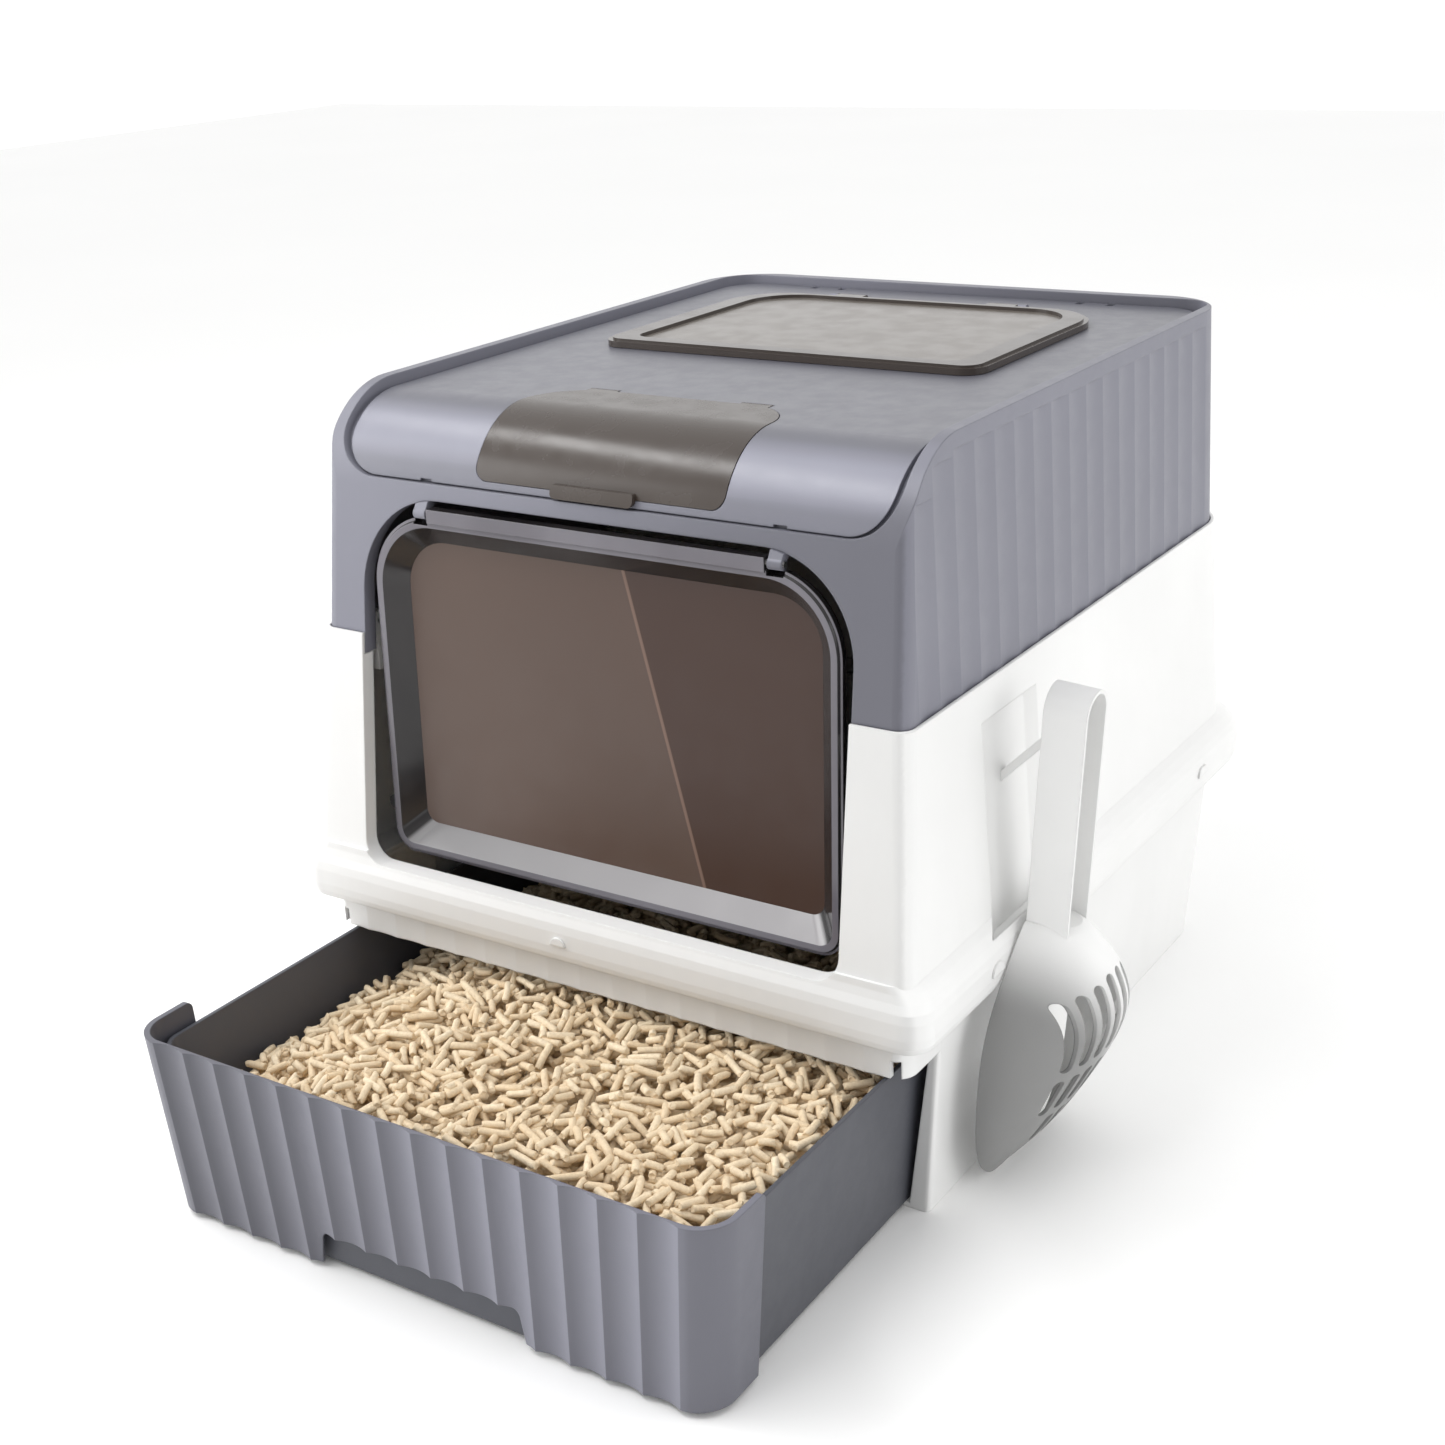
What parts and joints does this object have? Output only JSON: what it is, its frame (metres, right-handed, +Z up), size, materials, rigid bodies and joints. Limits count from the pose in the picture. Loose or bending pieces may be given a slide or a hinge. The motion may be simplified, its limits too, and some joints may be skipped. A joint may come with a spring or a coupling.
{
  "type": "hooded cat litter box",
  "caption": "Hooded cat litter box: tub base with pull-out litter drawer, middle ring, fluted hood with arched swing door, flip-up lid with window and hatch, and a side-hung scoop.",
  "frame": {"origin": "centre of the flat underside of the base", "axes": "+Z up, -Y out of the front where the drawer pulls out, +X to the side that carries the scoop"},
  "size_m": [0.4745, 0.646, 0.423],
  "materials": {
    "white_plastic": "fine satin moulded polypropylene",
    "grey_plastic": "fine satin moulded polypropylene, cool grey",
    "smoked_plastic": "glossy smoked plastic",
    "smoked_pane": "clear smoked brown plastic",
    "steel_pin": "plain drawn pin",
    "black_rubber": "matt black",
    "wood_litter": "loose pressed wood pellets"
  },
  "bodies": {
    "base": {"base_tub": "white_plastic", "base_rails": "white_plastic"},
    "mid": {"mid_shell": "white_plastic", "skirt_snap_tabs": "white_plastic", "seam_lugs": "white_plastic", "scoop_peg": "white_plastic"},
    "hood": {"hood_shell": "grey_plastic", "door_hinge_clips": "grey_plastic", "lid_hinge_ears": "grey_plastic", "lid_hinge_pins": "steel_pin"},
    "lid": {"lid_panel": "grey_plastic", "window_hinge_pins": "steel_pin", "hatch_hinge_pins": "steel_pin"},
    "window": {"lid_window": "smoked_plastic", "window_pull_tab": "smoked_plastic"},
    "hatch": {"hatch_frame": "smoked_plastic", "hatch_pane": "smoked_pane"},
    "door": {"door_frame": "smoked_plastic", "door_pane": "smoked_pane", "door_hinge_rod": "steel_pin", "door_nubs": "black_rubber"},
    "drawer": {"drawer_tub": "grey_plastic", "drawer_facade": "grey_plastic", "litter_bed": "wood_litter"},
    "scoop": {"scoop": "white_plastic"}
  },
  "joints": [
    {"name": "mid_lift", "type": "slide", "parent": "base", "child": "mid", "axis": [0, 0, 1], "range_m": [0, 0.18]},
    {"name": "hood_lift", "type": "slide", "parent": "mid", "child": "hood", "axis": [0, 0, 1], "range_m": [0, 0.25]},
    {"name": "lid_hinge", "type": "hinge", "parent": "hood", "child": "lid", "pos_m": [0, 0.208, 0.4144], "axis": [-1, 0, 0], "range_deg": [0, 80]},
    {"name": "window_hinge", "type": "hinge", "parent": "lid", "child": "window", "pos_m": [0, -0.1254, 0.4162], "axis": [-1, 0, 0], "range_deg": [0, 90]},
    {"name": "hatch_hinge", "type": "hinge", "parent": "lid", "child": "hatch", "pos_m": [0, 0.1639, 0.4204], "axis": [-1, 0, 0], "range_deg": [0, 95]},
    {"name": "door_swing", "type": "hinge", "parent": "hood", "child": "door", "pos_m": [0, -0.2146, 0.362], "axis": [1, 0, 0], "range_deg": [-60, 60]},
    {"name": "drawer_slide", "type": "slide", "parent": "base", "child": "drawer", "axis": [0, 1, 0], "range_m": [-0.16, 0.1415]},
    {"name": "scoop_lift", "type": "slide", "parent": "mid", "child": "scoop", "axis": [0.7071, 0, 0.7071], "range_m": [0, 0.2]}
  ]
}
